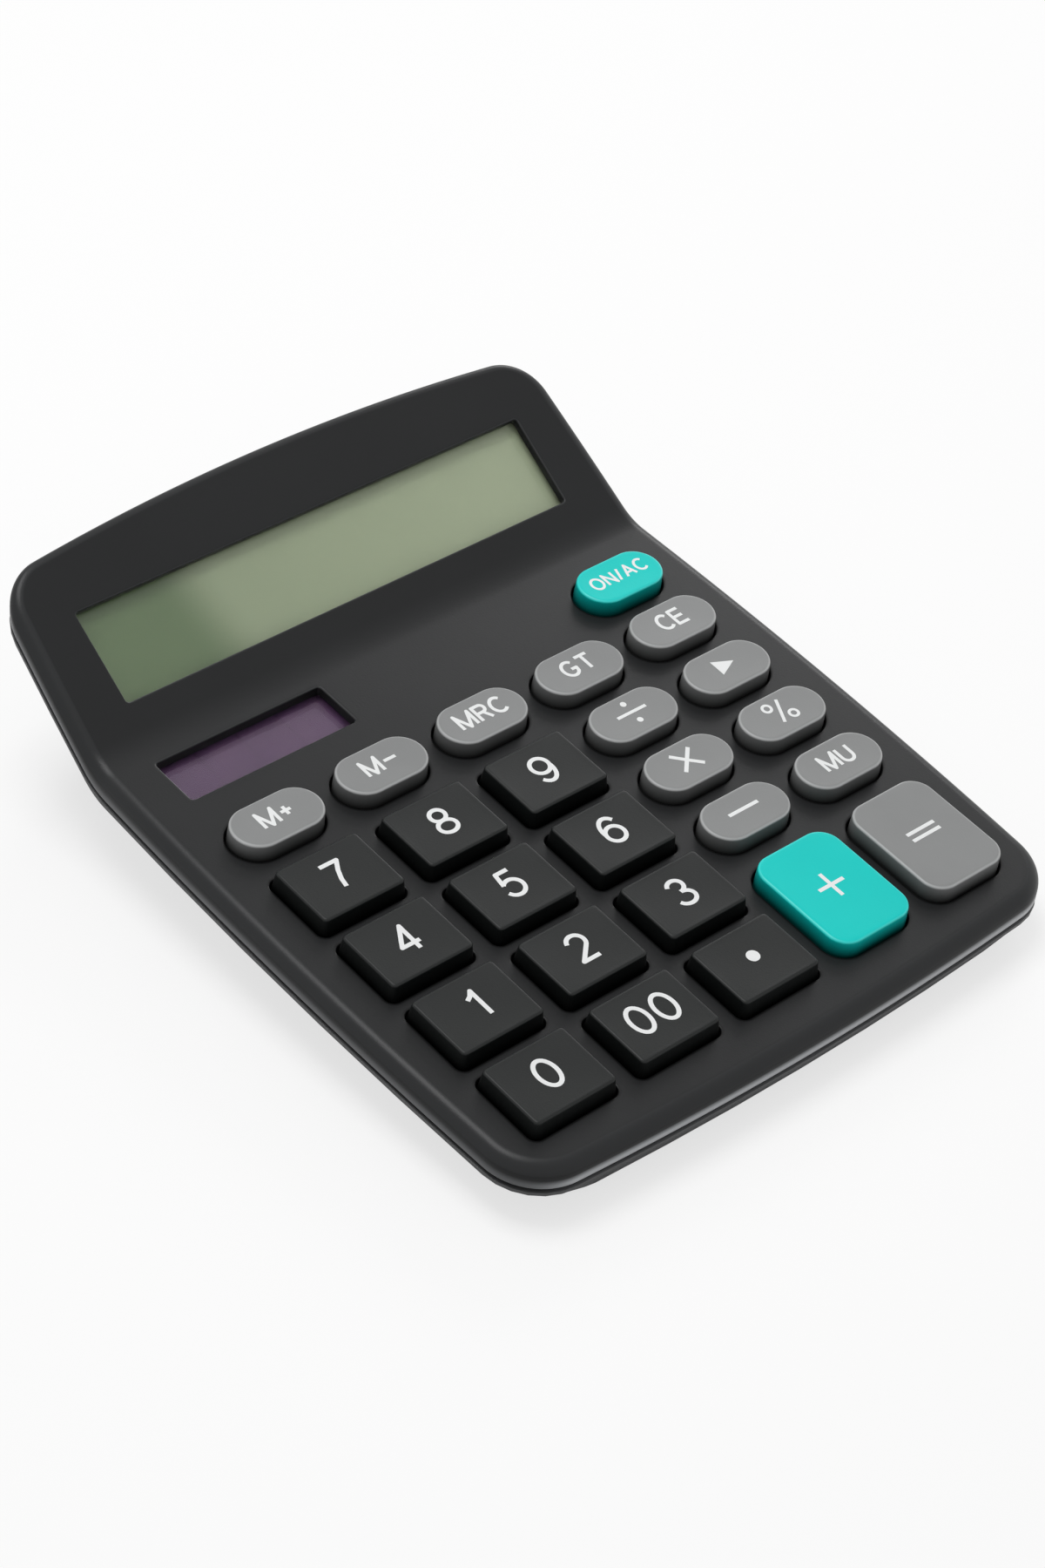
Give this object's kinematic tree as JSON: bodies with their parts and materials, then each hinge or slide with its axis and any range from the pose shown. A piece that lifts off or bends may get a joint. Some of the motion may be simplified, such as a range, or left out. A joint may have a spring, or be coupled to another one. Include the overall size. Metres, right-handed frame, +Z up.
{
  "type": "desk calculator",
  "caption": "Desk calculator with a bent dark case, tilted display behind a clear lens, solar cell, sprung pill-shaped and square keys, and a sliding battery door underneath.",
  "frame": {"origin": "on the desk, under the middle of the case's outline", "axes": "+X to the user's right, +Y away from the user towards the display, +Z up"},
  "size_m": [0.1184, 0.1388, 0.0383],
  "materials": {
    "case_plastic": "fine moulded grain",
    "base_plastic": "fine moulded grain",
    "dark_key": "satin",
    "grey_key": "satin",
    "teal_key": "satin",
    "lens": "clear, polished",
    "lcd": "satin",
    "holder_plastic": "satin",
    "flex_film": "smooth",
    "solar_clear": "clear, polished",
    "solar_cell": "smooth",
    "silicone": "matt",
    "board": "solder mask",
    "epoxy": "smooth",
    "capacitor_sleeve": "smooth",
    "screw_steel": "zinc plated",
    "battery_can": "printed sleeve, bare",
    "contact_steel": "nickel plated",
    "lead_sleeve": "smooth",
    "foot_rubber": "matt"
  },
  "bodies": {
    "case": {"upper_case": "case_plastic", "lower_case": "base_plastic", "display_lens": "lens", "lcd_panel": "lcd", "lcd_holder": "holder_plastic", "lcd_flex": "flex_film", "solar_window": "solar_clear", "solar_cell": "solar_cell", "solar_leads": "lead_sleeve", "keypad_membrane": "silicone", "main_board": "board", "chip_blob": "epoxy", "capacitor": "capacitor_sleeve", "board_screws": "screw_steel", "holder_screws": "screw_steel", "case_screws": "screw_steel", "battery": "battery_can", "battery_plate": "contact_steel", "battery_spring": "contact_steel", "battery_leads": "lead_sleeve", "rubber_feet": "foot_rubber"},
    "key_on": {"key_on": "teal_key"},
    "key_m_plus": {"key_m_plus": "grey_key"},
    "key_m_minus": {"key_m_minus": "grey_key"},
    "key_mrc": {"key_mrc": "grey_key"},
    "key_gt": {"key_gt": "grey_key"},
    "key_ce": {"key_ce": "grey_key"},
    "key_divide": {"key_divide": "grey_key"},
    "key_backspace": {"key_backspace": "grey_key"},
    "key_multiply": {"key_multiply": "grey_key"},
    "key_percent": {"key_percent": "grey_key"},
    "key_minus": {"key_minus": "grey_key"},
    "key_mu": {"key_mu": "grey_key"},
    "key_plus": {"key_plus": "teal_key"},
    "key_equals": {"key_equals": "grey_key"},
    "key_0": {"key_0": "dark_key"},
    "key_1": {"key_1": "dark_key"},
    "key_2": {"key_2": "dark_key"},
    "key_3": {"key_3": "dark_key"},
    "key_4": {"key_4": "dark_key"},
    "key_5": {"key_5": "dark_key"},
    "key_6": {"key_6": "dark_key"},
    "key_7": {"key_7": "dark_key"},
    "key_8": {"key_8": "dark_key"},
    "key_9": {"key_9": "dark_key"},
    "key_00": {"key_00": "dark_key"},
    "key_point": {"key_point": "dark_key"},
    "battery_door": {"battery_door": "base_plastic"}
  },
  "joints": [
    {"name": "key_on_press", "type": "slide", "parent": "case", "child": "key_on", "axis": [0, 0.0698, -0.9976], "range_m": [0, 0.0012], "stiffness_N_per_m": 500, "deforming": ["keypad_membrane"]},
    {"name": "key_m_plus_press", "type": "slide", "parent": "case", "child": "key_m_plus", "axis": [0, 0.0698, -0.9976], "range_m": [0, 0.0012], "stiffness_N_per_m": 500, "deforming": ["keypad_membrane"]},
    {"name": "key_m_minus_press", "type": "slide", "parent": "case", "child": "key_m_minus", "axis": [0, 0.0698, -0.9976], "range_m": [0, 0.0012], "stiffness_N_per_m": 500, "deforming": ["keypad_membrane"]},
    {"name": "key_mrc_press", "type": "slide", "parent": "case", "child": "key_mrc", "axis": [0, 0.0698, -0.9976], "range_m": [0, 0.0012], "stiffness_N_per_m": 500, "deforming": ["keypad_membrane"]},
    {"name": "key_gt_press", "type": "slide", "parent": "case", "child": "key_gt", "axis": [0, 0.0698, -0.9976], "range_m": [0, 0.0012], "stiffness_N_per_m": 500, "deforming": ["keypad_membrane"]},
    {"name": "key_ce_press", "type": "slide", "parent": "case", "child": "key_ce", "axis": [0, 0.0698, -0.9976], "range_m": [0, 0.0012], "stiffness_N_per_m": 500, "deforming": ["keypad_membrane"]},
    {"name": "key_divide_press", "type": "slide", "parent": "case", "child": "key_divide", "axis": [0, 0.0698, -0.9976], "range_m": [0, 0.0012], "stiffness_N_per_m": 500, "deforming": ["keypad_membrane"]},
    {"name": "key_backspace_press", "type": "slide", "parent": "case", "child": "key_backspace", "axis": [0, 0.0698, -0.9976], "range_m": [0, 0.0012], "stiffness_N_per_m": 500, "deforming": ["keypad_membrane"]},
    {"name": "key_multiply_press", "type": "slide", "parent": "case", "child": "key_multiply", "axis": [0, 0.0698, -0.9976], "range_m": [0, 0.0012], "stiffness_N_per_m": 500, "deforming": ["keypad_membrane"]},
    {"name": "key_percent_press", "type": "slide", "parent": "case", "child": "key_percent", "axis": [0, 0.0698, -0.9976], "range_m": [0, 0.0012], "stiffness_N_per_m": 500, "deforming": ["keypad_membrane"]},
    {"name": "key_minus_press", "type": "slide", "parent": "case", "child": "key_minus", "axis": [0, 0.0698, -0.9976], "range_m": [0, 0.0012], "stiffness_N_per_m": 500, "deforming": ["keypad_membrane"]},
    {"name": "key_mu_press", "type": "slide", "parent": "case", "child": "key_mu", "axis": [0, 0.0698, -0.9976], "range_m": [0, 0.0012], "stiffness_N_per_m": 500, "deforming": ["keypad_membrane"]},
    {"name": "key_plus_press", "type": "slide", "parent": "case", "child": "key_plus", "axis": [0, 0.0698, -0.9976], "range_m": [0, 0.0012], "stiffness_N_per_m": 500, "deforming": ["keypad_membrane"]},
    {"name": "key_equals_press", "type": "slide", "parent": "case", "child": "key_equals", "axis": [0, 0.0698, -0.9976], "range_m": [0, 0.0012], "stiffness_N_per_m": 500, "deforming": ["keypad_membrane"]},
    {"name": "key_0_press", "type": "slide", "parent": "case", "child": "key_0", "axis": [0, 0.0698, -0.9976], "range_m": [0, 0.0012], "stiffness_N_per_m": 500, "deforming": ["keypad_membrane"]},
    {"name": "key_1_press", "type": "slide", "parent": "case", "child": "key_1", "axis": [0, 0.0698, -0.9976], "range_m": [0, 0.0012], "stiffness_N_per_m": 500, "deforming": ["keypad_membrane"]},
    {"name": "key_2_press", "type": "slide", "parent": "case", "child": "key_2", "axis": [0, 0.0698, -0.9976], "range_m": [0, 0.0012], "stiffness_N_per_m": 500, "deforming": ["keypad_membrane"]},
    {"name": "key_3_press", "type": "slide", "parent": "case", "child": "key_3", "axis": [0, 0.0698, -0.9976], "range_m": [0, 0.0012], "stiffness_N_per_m": 500, "deforming": ["keypad_membrane"]},
    {"name": "key_4_press", "type": "slide", "parent": "case", "child": "key_4", "axis": [0, 0.0698, -0.9976], "range_m": [0, 0.0012], "stiffness_N_per_m": 500, "deforming": ["keypad_membrane"]},
    {"name": "key_5_press", "type": "slide", "parent": "case", "child": "key_5", "axis": [0, 0.0698, -0.9976], "range_m": [0, 0.0012], "stiffness_N_per_m": 500, "deforming": ["keypad_membrane"]},
    {"name": "key_6_press", "type": "slide", "parent": "case", "child": "key_6", "axis": [0, 0.0698, -0.9976], "range_m": [0, 0.0012], "stiffness_N_per_m": 500, "deforming": ["keypad_membrane"]},
    {"name": "key_7_press", "type": "slide", "parent": "case", "child": "key_7", "axis": [0, 0.0698, -0.9976], "range_m": [0, 0.0012], "stiffness_N_per_m": 500, "deforming": ["keypad_membrane"]},
    {"name": "key_8_press", "type": "slide", "parent": "case", "child": "key_8", "axis": [0, 0.0698, -0.9976], "range_m": [0, 0.0012], "stiffness_N_per_m": 500, "deforming": ["keypad_membrane"]},
    {"name": "key_9_press", "type": "slide", "parent": "case", "child": "key_9", "axis": [0, 0.0698, -0.9976], "range_m": [0, 0.0012], "stiffness_N_per_m": 500, "deforming": ["keypad_membrane"]},
    {"name": "key_00_press", "type": "slide", "parent": "case", "child": "key_00", "axis": [0, 0.0698, -0.9976], "range_m": [0, 0.0012], "stiffness_N_per_m": 500, "deforming": ["keypad_membrane"]},
    {"name": "key_point_press", "type": "slide", "parent": "case", "child": "key_point", "axis": [0, 0.0698, -0.9976], "range_m": [0, 0.0012], "stiffness_N_per_m": 500, "deforming": ["keypad_membrane"]},
    {"name": "battery_door_slide", "type": "slide", "parent": "case", "child": "battery_door", "axis": [0, 1, 0], "range_m": [0, 0.02]}
  ]
}
